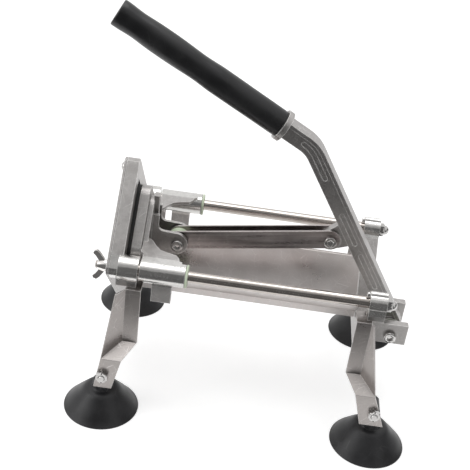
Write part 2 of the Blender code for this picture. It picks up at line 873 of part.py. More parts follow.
def make_carriage():
    outline = round_cornered_diamond(back_plate_side / 2, block_corner_radius)
    carriage = piece("pusher_carriage", prism(outline, "x", plate_start, plate_end), "cast", "pusher")
    low = (plate_end - cut_overrun, -rib_half_width, -rib_height)
    high = (plate_end + rib_depth, rib_half_width, rib_height)
    lumps = [box(low, high)]
    ends = (sleeve_start - cut_overrun, sleeve_end + cut_overrun)
    screw_ends = (plate_start - cut_overrun, plate_end + cut_overrun)
    holes = []
    for side in (-1, 1):
        line = (0, side * rod_y, 0)
        lumps.append(rod(sleeve_radius, line, along_x, sleeve_start, sleeve_end, fine_steps))
        holes.append(rod(bush_radius + seat_gap, line, along_x, *ends, fine_steps))
        outline = [(spot, side * place) for spot, place in web_outline()]
        web_ends = (sleeve_radius - web_thickness, sleeve_radius - casting_step)
        lumps.append(prism(outline, "z", *web_ends))
        tab_end = sleeve_end - tab_setback
        half = tab_thickness / 2
        low = (tab_end - tab_length, side * rod_y - half, -tab_drop)
        high = (tab_end, side * rod_y + half, -(bush_radius + sleeve_radius) / 2)
        lumps.append(box(low, high))
        ear = sorted((side * ear_inner, side * ear_outer))
        lumps.append(prism(ear_outline(), "y", *ear))
        line = (0, side * block_screw_place, -block_screw_drop)
        holes.append(rod(small_screw_radius + seat_gap, line, along_x, *screw_ends))
    join(carriage, *lumps)
    reach = ear_outer + cut_overrun
    holes.append(rod(pin_radius + seat_gap, clevis, along_y, -reach, reach))
    cut(carriage, *holes)


def web_outline():
    start = plate_start + casting_step
    end = sleeve_end - web_rear_setback
    span = end - start
    across = rod_y - web_front_inner
    outline = [(start, web_front_inner)]
    for along, out in web_curve_shares:
        outline.append((start + span * along, web_front_inner + across * out))
    front = sleeve_start + casting_step
    outline += [(end, rod_y), (front, rod_y), (front, rod_y - boss_radius - seat_gap)]
    return outline + [(start, web_front_outer)]


def ear_outline():
    start = plate_start + casting_step
    post_end = plate_end + ear_post_depth
    middle = (clevis.x - ear_nose_back, clevis.z + ear_nose_rise)
    nose = arc(middle, ear_radius, -math.pi / 2, math.pi / 2, 12)
    corner = (post_end + ear_fillet, ear_shoulder + ear_fillet)
    fillet = arc(corner, ear_fillet, -math.pi / 2, -math.pi, 3)
    return [
        (start, -ear_post_height / 2), (post_end, middle[1] - ear_radius), *nose, *fillet,
        (post_end, ear_post_height), (start, ear_post_height),
    ]


def make_pusher_fittings():
    for side, word in ((-1, "near"), (1, "far")):
        line = (0, side * rod_y, 0)
        hole = rod_radius + running_gap
        profile = [
            (hole, sleeve_start), (bush_radius, sleeve_start), (bush_radius, sleeve_end + seat_gap),
            (sleeve_radius, sleeve_end + seat_gap), (sleeve_radius, bush_end), (hole, bush_end),
        ]
        piece(f"sleeve_bush_{word}", turned(profile, line, along_x, fine_steps), "nylon", "pusher")
        line = (plate_end + seat_gap, side * block_screw_place, -block_screw_drop)
        grip = 2 * seat_gap + back_plate_depth + block_screw_grip
        profile = socket_bolt(
            small_screw_radius, grip, screw_head_radius, screw_head_height,
            small_screw_radius * small_socket_share, socket_depth / 2,
        )
        piece(f"block_screw_{word}", turned(profile, line, -along_x), "polished", "pusher")
        line = (clevis.x, side * (ear_outer + seat_gap), clevis.z)
        grip = ear_thickness + seat_gap
        profile = socket_bolt(
            pin_radius, grip, bolt_head_radius, bolt_head_height, socket_radius, socket_depth,
        )
        piece(f"clevis_screw_{word}", turned(profile, line, -side * along_y), "polished", "pusher")


# Link

def make_link():
    span = crank - clevis
    length = span.length
    slope = math.atan2(span.z, span.x)
    turn = Matrix.Translation(clevis) @ Matrix.Rotation(-slope, 4, "Y")

    def placed(shape):
        bmesh.ops.transform(shape, matrix=turn, verts=shape.verts)
        return shape

    right = arc((length, link_rise), link_radius, -math.pi / 2, math.pi / 2, 12)
    left = arc((0, link_rise), link_radius, math.pi / 2, 3 * math.pi / 2, 12)
    body = placed(prism(right + left, "y", -link_half_width, link_half_width))
    link = piece("link", body, "dark_sheet", "link")
    inside = link_half_width - link_wall
    floor = link_rise - link_radius + link_wall
    reach = 2 * link_radius
    channel = box((-reach, -inside, floor), (length + reach, inside, reach))
    front = box((-reach, -inside, -reach), (link_end_gap, inside, reach))
    back = box((length - link_end_gap, -inside, -reach), (length + reach, inside, reach))
    across = link_half_width + cut_overrun
    front_hole = rod(pin_radius + seat_gap, clevis, along_y, -across, across)
    back_hole = rod(pin_radius + running_gap, crank, along_y, -across, across, turning_steps)
    cut(link, placed(channel), placed(front), placed(back), front_hole, back_hole)
    half = ear_inner - seat_gap
    piece("link_pin", rod(pin_radius, clevis, along_y, -half, half), "polished", "link")
    half = inside - seat_gap
    roller = pipe(roller_radius, pin_radius + seat_gap, clevis, along_y, -half, half, fine_steps)
    piece("link_roller", roller, "nylon", "link")


# Handle

def lean_ways(lean):
    ahead = Vector((-math.sin(lean), math.cos(lean)))
    behind = Vector((math.cos(lean), math.sin(lean)))
    return ahead, behind


def arm_point(travel, offset):
    # A place beside the arm's middle line, which is straight, then bent, then straight
    bend = grip_lean - arm_lean
    ahead, behind = lean_ways(arm_lean)
    start = Vector((pivot.x, pivot.z)) + behind * arm_offset
    first = knee_reach - knee_bend_radius * math.tan(bend / 2)
    if travel <= first:
        return start + ahead * travel + behind * offset
    hinge = start + ahead * first - behind * knee_bend_radius
    turned_by = min((travel - first) / knee_bend_radius, bend)
    ahead, behind = lean_ways(arm_lean + turned_by)
    rest = max(travel - first - knee_bend_radius * bend, 0)
    return hinge + behind * (knee_bend_radius + offset) + ahead * rest


def arm_length():
    bend = grip_lean - arm_lean
    corner = knee_bend_radius * math.tan(bend / 2)
    return knee_reach - corner + knee_bend_radius * bend + neck_length - corner


def arm_travels(start, stop):
    # The two ends, with close steps round the bend
    bend = grip_lean - arm_lean
    first = knee_reach - knee_bend_radius * math.tan(bend / 2)
    steps = [first + knee_bend_radius * bend * step / bend_steps for step in range(bend_steps + 1)]
    return [start] + [travel for travel in steps if start < travel < stop] + [stop]


def arm_bar(section):
    # The section is a loop of (offset from the middle line, distance across)
    shape = bmesh.new()
    rings = []
    for travel in arm_travels(0, arm_length()):
        ring = []
        for offset, across in section:
            spot = arm_point(travel, offset)
            ring.append(shape.verts.new((spot.x, across, spot.y)))
        rings.append(ring)
    shape.faces.new(rings[0])
    shape.faces.new(rings[-1])
    for ring, follower in zip(rings, rings[1:]):
        for index in range(len(ring)):
            after = (index + 1) % len(ring)
            shape.faces.new((ring[index], ring[after], follower[after], follower[index]))
    return shape


def groove_outline(start, stop):
    middle = -groove_front
    travels = arm_travels(start, stop)
    outline = [tuple(arm_point(travel, middle - groove_half_width)) for travel in travels]
    outline += groove_cap(stop, 1)
    outline += [tuple(arm_point(travel, middle + groove_half_width)) for travel in reversed(travels)]
    return outline + groove_cap(start, -1)


def groove_cap(end, way):
    cap = []
    for step in range(1, groove_steps):
        angle = math.pi * step / groove_steps
        along = end + way * groove_half_width * math.sin(angle)
        offset = -groove_front - way * groove_half_width * math.cos(angle)
        cap.append(tuple(arm_point(along, offset)))
    return cap


def make_arm():
    total = arm_length()
    half = arm_width / 2
    web, flange = arm_half_thickness, flange_half_width
    step = half - flange_depth
    section = [(-half, -web), (step, -web), (step, -flange), (half, -flange)]
    section += [(half, flange), (step, flange), (step, web), (-half, web)]
    arm = piece("handle_arm", arm_bar(section), "cast", "handle")
    ahead, behind = lean_ways(arm_lean)
    start = Vector((pivot.x, pivot.z)) + behind * arm_offset
    middle = Vector((crank.x, crank.z))
    level = (middle - start).dot(ahead)
    reach = lug_radius - seat_gap
    neck = [
        tuple(arm_point(level - lug_root, 0)), tuple(middle - ahead * reach),
        tuple(middle + ahead * reach), tuple(arm_point(level + lug_root, 0)),
    ]
    neck_half = lug_half_width - casting_step
    ahead, behind = lean_ways(grip_lean)
    end = arm_point(total, 0)
    place = Vector((end.x, 0, end.y))
    axis = Vector((ahead.x, 0, ahead.y))
    join(
        arm,
        rod(hub_radius, pivot, along_y, -hub_half_width, hub_half_width, fine_steps),
        rod(lug_radius, crank, along_y, -lug_half_width, lug_half_width, fine_steps),
        prism(neck, "y", -neck_half, neck_half),
        rod(collar_radius, place, axis, -collar_thickness / 3, collar_thickness, fine_steps),
        rod(tang_radius, place, axis, 0, tang_length),
    )
    reach = hub_half_width + cut_overrun
    holes = [
        rod(pivot_bolt_radius + running_gap, pivot, along_y, -reach, reach, turning_steps),
        rod(pin_radius + seat_gap, crank, along_y, -reach, reach),
    ]
    for low, high in groove_shares.values():
        for side in (-1, 1):
            face = side * arm_half_thickness
            ends = sorted((face - side * groove_depth, face + side * cut_overrun))
            holes.append(prism(groove_outline(total * low, total * high), "y", *ends))
    cut(arm, *holes)
    start = collar_thickness + seat_gap
    hole = tang_radius + seat_gap
    tube = pipe(hole + tube_wall, hole, place, axis, start, start + tube_length)
    piece("handle_tube", tube, "polished", "handle")
    hole = hole + tube_wall + seat_gap
    end = start + tube_length + grip_spare
    profile = [(0, end - grip_end), (hole, end - grip_end), (hole, start)]
    for out, along in grip_shares:
        profile.append((grip_radius * out, start + (end - start) * along))
    profile.append((0, end))
    piece("handle_grip", turned(profile, place, axis, fine_steps), "rubber", "handle")


def make_pivots():
    outer = pivot_ear_inner + pivot_ear_thickness + seat_gap
    grip = 2 * outer + nut_height + nut_spare
    line = (pivot.x, -outer, pivot.z)
    profile = socket_bolt(
        pivot_bolt_radius, grip, bolt_head_radius, bolt_head_height, socket_radius, socket_depth,
    )
    piece("pivot_bolt", turned(profile, line, along_y, turning_steps), "polished")
    line = (pivot.x, outer, pivot.z)
    nut = turned(hex_nut(pivot_bolt_radius + seat_gap), line, along_y, nut_steps)
    piece("pivot_nut", nut, "polished")
    for side, word in ((-1, "near"), (1, "far")):
        ends = (hub_half_width + seat_gap, pivot_ear_inner - seat_gap)
        hole = pivot_bolt_radius + seat_gap
        washer = pipe(washer_radius, hole, pivot, side * along_y, *ends)
        piece(f"pivot_washer_{word}", washer, "nylon")
    outer = link_half_width + seat_gap
    grip = 2 * outer + nut_height + nut_spare
    line = (crank.x, -outer, crank.z)
    profile = socket_bolt(
        pin_radius, grip, bolt_head_radius, bolt_head_height, socket_radius, socket_depth,
    )
    piece("crank_bolt", turned(profile, line, along_y, turning_steps), "polished", "handle")
    line = (crank.x, outer, crank.z)
    nut = turned(hex_nut(pin_radius + seat_gap), line, along_y, nut_steps)
    piece("crank_nut", nut, "polished", "handle")


def stand_on_origin():
    # The origin lies on the table, under the middle of the model's bounds
    bpy.context.view_layer.update()
    spots = []
    for thing in bpy.context.collection.objects:
        if thing.type == "MESH" and not thing.hide_render:
            spots += [thing.matrix_world @ Vector(corner) for corner in thing.bound_box]
    base = holders["base"][0]
    base.location.x -= (min(spot.x for spot in spots) + max(spot.x for spot in spots)) / 2
    base.location.y -= (min(spot.y for spot in spots) + max(spot.y for spot in spots)) / 2
    base.location.z += rod_height
    bpy.context.view_layer.update()


def main():
    clean_scene()
    add_holder("base", (0, 0, 0))
    add_holder("pusher", clevis, "base")
    add_holder("handle", pivot, "base")
    add_holder("link", crank, "handle")
    add_holder("wing_near", (cover_front, -rod_y, 0), "base")
    add_holder("wing_far", (cover_front, rod_y, 0), "base")
    make_front_frame()
    make_cover()
    make_blade_grid()
    make_rods()
    make_tray()
    make_rear_frame()
    make_feet()
    make_toothed_plate()
    make_push_block()
    make_carriage()
    make_pusher_fittings()
    make_link()
    make_arm()
    make_pivots()
    stand_on_origin()


main()
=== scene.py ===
import json
import math

import bpy
import numpy as np
from mathutils import Matrix, Vector


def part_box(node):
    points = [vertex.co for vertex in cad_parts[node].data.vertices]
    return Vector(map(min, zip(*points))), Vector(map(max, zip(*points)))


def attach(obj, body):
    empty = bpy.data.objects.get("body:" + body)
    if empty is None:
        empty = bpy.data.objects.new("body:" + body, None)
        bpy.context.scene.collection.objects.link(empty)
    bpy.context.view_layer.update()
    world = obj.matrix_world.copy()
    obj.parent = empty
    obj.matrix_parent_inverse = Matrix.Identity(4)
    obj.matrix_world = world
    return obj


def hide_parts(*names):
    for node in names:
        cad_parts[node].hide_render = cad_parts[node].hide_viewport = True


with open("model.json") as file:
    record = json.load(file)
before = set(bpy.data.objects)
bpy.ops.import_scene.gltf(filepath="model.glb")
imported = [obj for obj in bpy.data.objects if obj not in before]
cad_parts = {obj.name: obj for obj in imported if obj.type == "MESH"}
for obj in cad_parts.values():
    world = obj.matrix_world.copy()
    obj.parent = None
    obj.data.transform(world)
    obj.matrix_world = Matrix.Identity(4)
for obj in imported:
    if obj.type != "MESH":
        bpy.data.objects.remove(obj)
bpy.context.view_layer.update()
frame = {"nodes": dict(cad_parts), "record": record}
nodes = frame["nodes"]
slot_of = {row["node"]: row["material_slot"] for row in frame["record"]["subparts"]}
body_of = {}
for body, members in frame["record"]["behaviour"]["bodies"].items():
    for member in members:
        body_of[member] = body

sides = ("near", "far")
ends = ("front", "rear")
along_x = Vector((1, 0, 0))
along_y = Vector((0, 1, 0))
along_z = Vector((0, 0, 1))


# Measures of the CAD nodes

def middle_of(node):
    low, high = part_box(node)
    return (low + high) / 2


def start_of(node):
    """The middle of a node's end toward the blades, and its length along x."""
    low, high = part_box(node)
    return Vector((low.x, (low.y + high.y) / 2, (low.z + high.z) / 2)), high.x - low.x


def long_axis(node, toward):
    """A long round node's middle, its direction and the distances to its two ends."""
    spots = np.array([vertex.co for vertex in nodes[node].data.vertices], float)
    middle = spots.mean(0)
    axis = np.linalg.svd(spots - middle, full_matrices=False)[2][0]
    if axis @ np.array(toward) < 0:
        axis = -axis
    reaches = (spots - middle) @ axis
    return Vector(middle), Vector(axis), float(reaches.min()), float(reaches.max())


# Camera, floor and lights

def set_camera():
    target = Vector((-0.0262, 0.0, 0.1742))
    distance = 1.0143
    azimuth, elevation, roll = math.radians(0.62), math.radians(31.28), math.radians(7.68)
    focal_pixels, picture_pixels, sensor_width = 945.4, 470, 36.0
    back = Vector((
        math.sin(azimuth) * math.cos(elevation),
        -math.cos(azimuth) * math.cos(elevation),
        math.sin(elevation),
    ))
    level = Vector((math.cos(azimuth), math.sin(azimuth), 0.0))
    rise = back.cross(level)
    right = math.cos(roll) * level + math.sin(roll) * rise
    up = math.cos(roll) * rise - math.sin(roll) * level
    camera = bpy.data.objects.new("photo_camera", bpy.data.cameras.new("photo_camera"))
    bpy.context.scene.collection.objects.link(camera)
    place = Matrix((right, up, back)).transposed().to_4x4()
    place.translation = target + back * distance
    camera.matrix_world = place
    camera.data.sensor_width = sensor_width
    camera.data.lens = focal_pixels / picture_pixels * sensor_width
    bpy.context.scene.camera = camera


def add_softbox(name, place, aim, size, power):
    lamp = bpy.data.lights.new(name, "AREA")
    lamp.shape = "RECTANGLE"
    lamp.size, lamp.size_y = size
    lamp.energy = power
    box = bpy.data.objects.new(name, lamp)
    bpy.context.scene.collection.objects.link(box)
    box.location = place
    box.rotation_euler = (Vector(aim) - Vector(place)).to_track_quat("-Z", "Y").to_euler()


class Wiring:
    """Adds and joins the nodes of one shader tree."""

    def __init__(self, tree):
        self.tree = tree

    def add(self, kind, **settings):
        node = self.tree.nodes.new("ShaderNode" + kind)
        for label, value in settings.items():
            setattr(node, label, value)
        return node

    def put(self, value, socket):
        if isinstance(value, bpy.types.NodeSocket):
            self.tree.links.new(value, socket)
        else:
            socket.default_value = value

    def sum(self, operation, first, second=0.0, third=0.0):
        node = self.add("Math", operation=operation)
        for value, socket in zip((first, second, third), node.inputs):
            self.put(value, socket)
        return node.outputs[0]

    def ramp(self, value, low, high, bottom=0.0, top=1.0):
        node = self.add("MapRange", clamp=True)
        for number, socket in zip((value, low, high, bottom, top), node.inputs):
            self.put(number, socket)
        return node.outputs[0]

    def blend(self, share, first, second):
        node = self.add("Mix", data_type="RGBA")
        self.put(share, node.inputs[0])
        for value, socket in ((first, node.inputs[6]), (second, node.inputs[7])):
            self.put(value if isinstance(value, bpy.types.NodeSocket) else (*value, 1), socket)
        return node.outputs[2]

    def place(self, group, **values):
        node = self.add("Group", node_tree=group)
        for label, value in values.items():
            self.put(value, node.inputs[label.replace("_", " ").title()])
        return node

    def seen_directly(self):
        path = self.add("LightPath")
        seen = self.sum("MAXIMUM", path.outputs["Is Camera Ray"], path.outputs["Is Glossy Ray"])
        return self.sum("MAXIMUM", seen, path.outputs["Is Transmission Ray"])


def set_world():
    # White where it is seen, and a softer light for everything else
    seen_strength, light_strength = 1.0, 0.50
    world = bpy.data.worlds.new("studio")
    bpy.context.scene.world = world
    world.use_nodes = True
    world.node_tree.nodes.clear()
    wiring = Wiring(world.node_tree)
    strength = wiring.ramp(wiring.seen_directly(), 0.0, 1.0, light_strength, seen_strength)
    light = wiring.add("Background")
    light.inputs["Color"].default_value = (1, 1, 1, 1)
    wiring.put(strength, light.inputs["Strength"])
    wiring.put(light.outputs[0], wiring.add("OutputWorld").inputs["Surface"])


def stage_card(name, low, high, material):
    """A flat card of the stage, between two opposite corners."""
    first = next(axis for axis in range(3) if low[axis] != high[axis])
    after_low, after_high = list(low), list(high)
    after_low[first], after_high[first] = high[first], low[first]
    mesh = bpy.data.meshes.new(name)
    mesh.from_pydata([low, after_low, high, after_high], [], [(0, 1, 2, 3)])
    mesh.materials.append(material)
    card = bpy.data.objects.new(name, mesh)
    bpy.context.scene.collection.objects.link(card)


def pale_floor():
    # The glow only shows to the eye and in reflections, so the floor keeps its shadows
    shade, glow = 0.80, 0.55
    material = bpy.data.materials.new("pale_floor")
    material.use_nodes = True
    wiring = Wiring(material.node_tree)
    shader = material.node_tree.nodes["Principled BSDF"]
    shader.inputs["Base Color"].default_value = (shade, shade, shade, 1)
    shader.inputs["Roughness"].default_value = 1.0
    shader.inputs["Specular IOR Level"].default_value = 0.0
    shader.inputs["Emission Color"].default_value = (1, 1, 1, 1)
    seen = wiring.seen_directly()
    wiring.put(wiring.sum("MULTIPLY", seen, glow), shader.inputs["Emission Strength"])
    return material


def dark_flag(shade):
    # A studio flag, which only shows in reflections
    material = bpy.data.materials.new("studio_flag")
    material.use_nodes = True
    material.node_tree.nodes.clear()
    wiring = Wiring(material.node_tree)
    path = wiring.add("LightPath")
    clear = wiring.add("BsdfTransparent")
    glow = wiring.add("Emission")
    glow.inputs["Color"].default_value = (shade, shade, shade, 1)
    mix = wiring.add("MixShader")
    wiring.put(path.outputs["Is Glossy Ray"], mix.inputs[0])
    wiring.put(clear.outputs[0], mix.inputs[1])
    wiring.put(glow.outputs[0], mix.inputs[2])
    wiring.put(mix.outputs[0], wiring.add("OutputMaterial").inputs["Surface"])
    return material


floor_reach = 25.0

# Each flag's shade and two opposite corners
flags = {
    "near_flag": (0.16, (-2.5, -3.0, 0.02), (2.5, -3.0, 2.6)),
    "upper_flag": (0.46, (-2.5, -3.0, 2.6), (2.5, -3.0, 6.4)),
    "low_flag": (0.14, (-2.5, -3.0, 0.01), (2.5, -0.22, 0.01)),
    "right_flag": (0.22, (3.0, -2.0, 0.02), (3.0, 2.0, 2.0)),
}


def set_studio():
    bpy.context.scene.view_settings.view_transform = "Standard"
    set_world()
    corner = Vector((floor_reach, floor_reach, 0))
    stage_card("floor", -corner, corner, pale_floor())
    for name, (shade, low, high) in flags.items():
        stage_card(name, low, high, dark_flag(shade))
    add_softbox("top_softbox", place=(-0.1, 0.25, 1.5), aim=(0, 0, 0.1), size=(1.2, 0.9), power=8)
    add_softbox("left_softbox", place=(-1.3, -0.5, 0.9), aim=(0, 0, 0.12), size=(0.7, 1.0), power=5)


# Groups that several finishes share

def new_group(name, inputs, outputs):
    group = bpy.data.node_groups.new(name, "ShaderNodeTree")
    for label, value in inputs.items():
        socket = group.interface.new_socket(label, in_out="INPUT", socket_type="NodeSocketFloat")
        socket.default_value = value
    for label in outputs:
        group.interface.new_socket(label, in_out="OUTPUT", socket_type="NodeSocketFloat")
    wiring = Wiring(group)
    start = wiring.tree.nodes.new("NodeGroupInput")
    stop = wiring.tree.nodes.new("NodeGroupOutput")
    return group, wiring, start.outputs, stop.inputs


def stretched_places(wiring, stretch, tilt):
    # Places on the piece, drawn out along its length by the stretch
    places = wiring.add("TexCoord").outputs["Object"]
    turned = wiring.add("VectorRotate", rotation_type="Y_AXIS")
    wiring.put(places, turned.inputs["Vector"])
    wiring.put(tilt, turned.inputs["Angle"])
    squeeze = wiring.sum("DIVIDE", 1.0, stretch)
    sizes = wiring.add("CombineXYZ")
    for value, socket in zip((squeeze, 1.0, 1.0), sizes.inputs):
        wiring.put(value, socket)
    scaled = wiring.add("VectorMath", operation="MULTIPLY")
    wiring.put(turned.outputs[0], scaled.inputs[0])
    wiring.put(sizes.outputs[0], scaled.inputs[1])
    return scaled.outputs[0]


def speckle(wiring, places, scale, detail=3.0):
    noise = wiring.add("TexNoise")
    wiring.put(places, noise.inputs["Vector"])
    wiring.put(scale, noise.inputs["Scale"])
    wiring.put(detail, noise.inputs["Detail"])
    return noise.outputs["Fac"]


def make_grain_group():
    inputs = {"Grain Scale": 900.0, "Stretch": 1.0, "Tilt": 0.0, "Blotch Scale": 60.0}
    group, wiring, given, result = new_group("metal_grain", inputs, ["Grain", "Blotch", "Height"])
    places = stretched_places(wiring, given["Stretch"], given["Tilt"])
    grain = speckle(wiring, places, given["Grain Scale"], detail=4.0)
    plain = wiring.add("TexCoord").outputs["Object"]
    blotch = speckle(wiring, plain, given["Blotch Scale"], detail=5.0)
    wiring.put(wiring.ramp(grain, low=0.32, high=0.68), result["Grain"])
    wiring.put(wiring.ramp(blotch, low=0.34, high=0.66), result["Blotch"])
    wiring.put(grain, result["Height"])
    return group


def make_scratch_group():
    """Fine lines in three directions, which fade in and out."""
    directions, drawn_out, fade_scale = (0.5, 1.9, 2.7), 0.12, 70.0
    inputs = {"Scratch Scale": 90.0, "Width": 0.012, "Amount": 0.5}
    group, wiring, given, result = new_group("fine_scratches", inputs, ["Scratches"])
    places = wiring.add("TexCoord").outputs["Object"]
    layers = []
    for turn in directions:
        rotated = wiring.add("VectorRotate", rotation_type="EULER_XYZ")
        rotated.inputs["Rotation"].default_value = (turn, turn * 0.7, turn * 1.3)
        wiring.put(places, rotated.inputs["Vector"])
        drawn = wiring.add("VectorMath", operation="MULTIPLY")
        wiring.put(rotated.outputs[0], drawn.inputs[0])
        drawn.inputs[1].default_value = (drawn_out, 1.0, 1.0)
        cells = wiring.add("TexVoronoi", feature="DISTANCE_TO_EDGE")
        wiring.put(drawn.outputs[0], cells.inputs["Vector"])
        wiring.put(given["Scratch Scale"], cells.inputs["Scale"])
        line = wiring.ramp(cells.outputs["Distance"], 0.0, given["Width"], bottom=1.0, top=0.0)
        fade = speckle(wiring, rotated.outputs[0], fade_scale)
        layers.append(wiring.sum("MULTIPLY", line, wiring.ramp(fade, low=0.50, high=0.62)))
    most = wiring.sum("MAXIMUM", wiring.sum("MAXIMUM", layers[0], layers[1]), layers[2])
    wiring.put(wiring.sum("MULTIPLY", most, given["Amount"]), result["Scratches"])
    return group


def make_edge_group():
    """Shows where a rounded surface would lean away from the flat one; the finishes paint these
    edges bright, a painted highlight as well as rubbing.
    """
    inputs = {"Radius": 0.0009, "Breakup": 0.5}
    group, wiring, given, result = new_group("rubbed_and_highlit_edges", inputs, ["Edge"])
    rounded = wiring.add("Bevel", samples=6)
    wiring.put(given["Radius"], rounded.inputs["Radius"])
    flat = wiring.add("NewGeometry").outputs["Normal"]
    match = wiring.add("VectorMath", operation="DOT_PRODUCT")
    wiring.put(rounded.outputs[0], match.inputs[0])
    wiring.put(flat, match.inputs[1])
    edge = wiring.ramp(match.outputs["Value"], low=0.995, high=0.93)
    places = wiring.add("TexCoord").outputs["Object"]
    uneven = wiring.ramp(speckle(wiring, places, 260.0), low=0.35, high=0.60)
    kept = wiring.ramp(given["Breakup"], 0.0, 1.0, bottom=1.0, top=uneven)
    wiring.put(wiring.sum("MULTIPLY", edge, kept), result["Edge"])
    return group


groups = {
    "grain": make_grain_group(),
    "scratches": make_scratch_group(),
    "edges": make_edge_group(),
}


# Finishes

# The castings are turned smooth round the guide rods
rod_middle = middle_of("guide_rod_far")
turned_radius, turned_fade = 0.0144, 0.0006
turned_dark, turned_light = (0.58, 0.57, 0.555), (0.72, 0.71, 0.69)
turned_rough = (0.14, 0.24)

# Metallic on the edges, lowered so that they show as a painted bright line
edge_metallic = 0.25
metal_bump_depth = 0.0006
moulded_bump_depth = 0.0004


def start_finish(name, metallic):
    material = bpy.data.materials.new(name)
    material.use_nodes = True
    shader = material.node_tree.nodes["Principled BSDF"]
    shader.inputs["Metallic"].default_value = metallic
    return material, Wiring(material.node_tree), shader


def roughen(wiring, shader, height, strength, depth):
    bump = wiring.add("Bump")
    bump.inputs["Strength"].default_value = strength
    bump.inputs["Distance"].default_value = depth
    wiring.put(height, bump.inputs["Height"])
    wiring.put(bump.outputs[0], shader.inputs["Normal"])


def turned_zone(wiring):
    # Where a casting has been machined round the guide rods
    parts = wiring.add("SeparateXYZ")
    wiring.put(wiring.add("TexCoord").outputs["Object"], parts.inputs[0])
    out = wiring.sum("ABSOLUTE", parts.outputs["Y"])
    across = wiring.sum("SUBTRACT", out, rod_middle.y)
    rise = wiring.sum("SUBTRACT", parts.outputs["Z"], rod_middle.z)
    across_square = wiring.sum("MULTIPLY", across, across)
    rise_square = wiring.sum("MULTIPLY", rise, rise)
    distance = wiring.sum("SQRT", wiring.sum("ADD", across_square, rise_square))
    return wiring.ramp(distance, turned_radius, turned_radius + turned_fade, bottom=1.0, top=0.0)


def metal(name, dark, light, edge, rough, grain=900.0, stretch=1.0, tilt=0.0, blotch=60.0,
          mottle=0.5, bump=0.05, scratched=0.5, edge_radius=0.0009, machined=False):
    """Mottled metal with fine scratches, and bright edges that are a painted highlight as well as
    rubbing.
    """
    material, wiring, shader = start_finish(name, 1.0)
    skin = wiring.place(
        groups["grain"], grain_scale=grain, stretch=stretch, tilt=tilt, blotch_scale=blotch)
    scratches = wiring.place(groups["scratches"], amount=scratched)
    rubbed_and_highlit = wiring.place(groups["edges"], radius=edge_radius)
    tone = wiring.ramp(mottle, 0.0, 1.0, skin.outputs["Grain"], skin.outputs["Blotch"])
    colour = wiring.blend(tone, dark, light)
    colour = wiring.blend(scratches.outputs["Scratches"], colour, edge)
    # The edges take the pale edge colour: a painted highlight as well as rubbing
    colour = wiring.blend(rubbed_and_highlit.outputs["Edge"], colour, edge)
    roughness = wiring.ramp(tone, 0.0, 1.0, *rough)
    if machined:
        zone = turned_zone(wiring)
        colour = wiring.blend(zone, colour, wiring.blend(tone, turned_dark, turned_light))
        smooth = wiring.ramp(tone, 0.0, 1.0, *turned_rough)
        roughness = wiring.ramp(zone, 0.0, 1.0, roughness, smooth)
    # A lower metallic lets the edges catch light from all round, so they show as a bright line: a
    # painted highlight as well as rubbing
    metallic = wiring.ramp(rubbed_and_highlit.outputs["Edge"], 0.0, 1.0, bottom=1.0, top=edge_metallic)
    wiring.put(metallic, shader.inputs["Metallic"])
    wiring.put(colour, shader.inputs["Base Color"])
    wiring.put(roughness, shader.inputs["Roughness"])
    roughen(wiring, shader, skin.outputs["Height"], bump, metal_bump_depth)
    return material


def moulded(name, dark, light, worn_and_highlit, rough, grain=1400.0, bump=0.08, gloss=0.4,
            edge_radius=0.0008):
    """Moulded rubber or plastic with scuffs, and lighter edges that are a painted highlight as well
    as wearing.
    """
    material, wiring, shader = start_finish(name, 0.0)
    skin = wiring.place(groups["grain"], grain_scale=grain, blotch_scale=45.0)
    rubbed_and_highlit = wiring.place(groups["edges"], radius=edge_radius, breakup=0.8)
    scuffs = wiring.place(groups["scratches"], scratch_scale=60.0, amount=0.35)
    blotch = skin.outputs["Blotch"]
    colour = wiring.blend(blotch, dark, light)
    # Scuffs and edges take the lighter colour; on the edges it is a painted highlight as well as
    # wearing
    wear_and_highlight = wiring.sum("MAXIMUM", rubbed_and_highlit.outputs["Edge"], scuffs.outputs["Scratches"])
    wiring.put(wiring.blend(wear_and_highlight, colour, worn_and_highlit), shader.inputs["Base Color"])
    wiring.put(wiring.ramp(blotch, 0.0, 1.0, *rough), shader.inputs["Roughness"])
    shader.inputs["Specular IOR Level"].default_value = gloss
    roughen(wiring, shader, skin.outputs["Height"], bump, moulded_bump_depth)
    return material


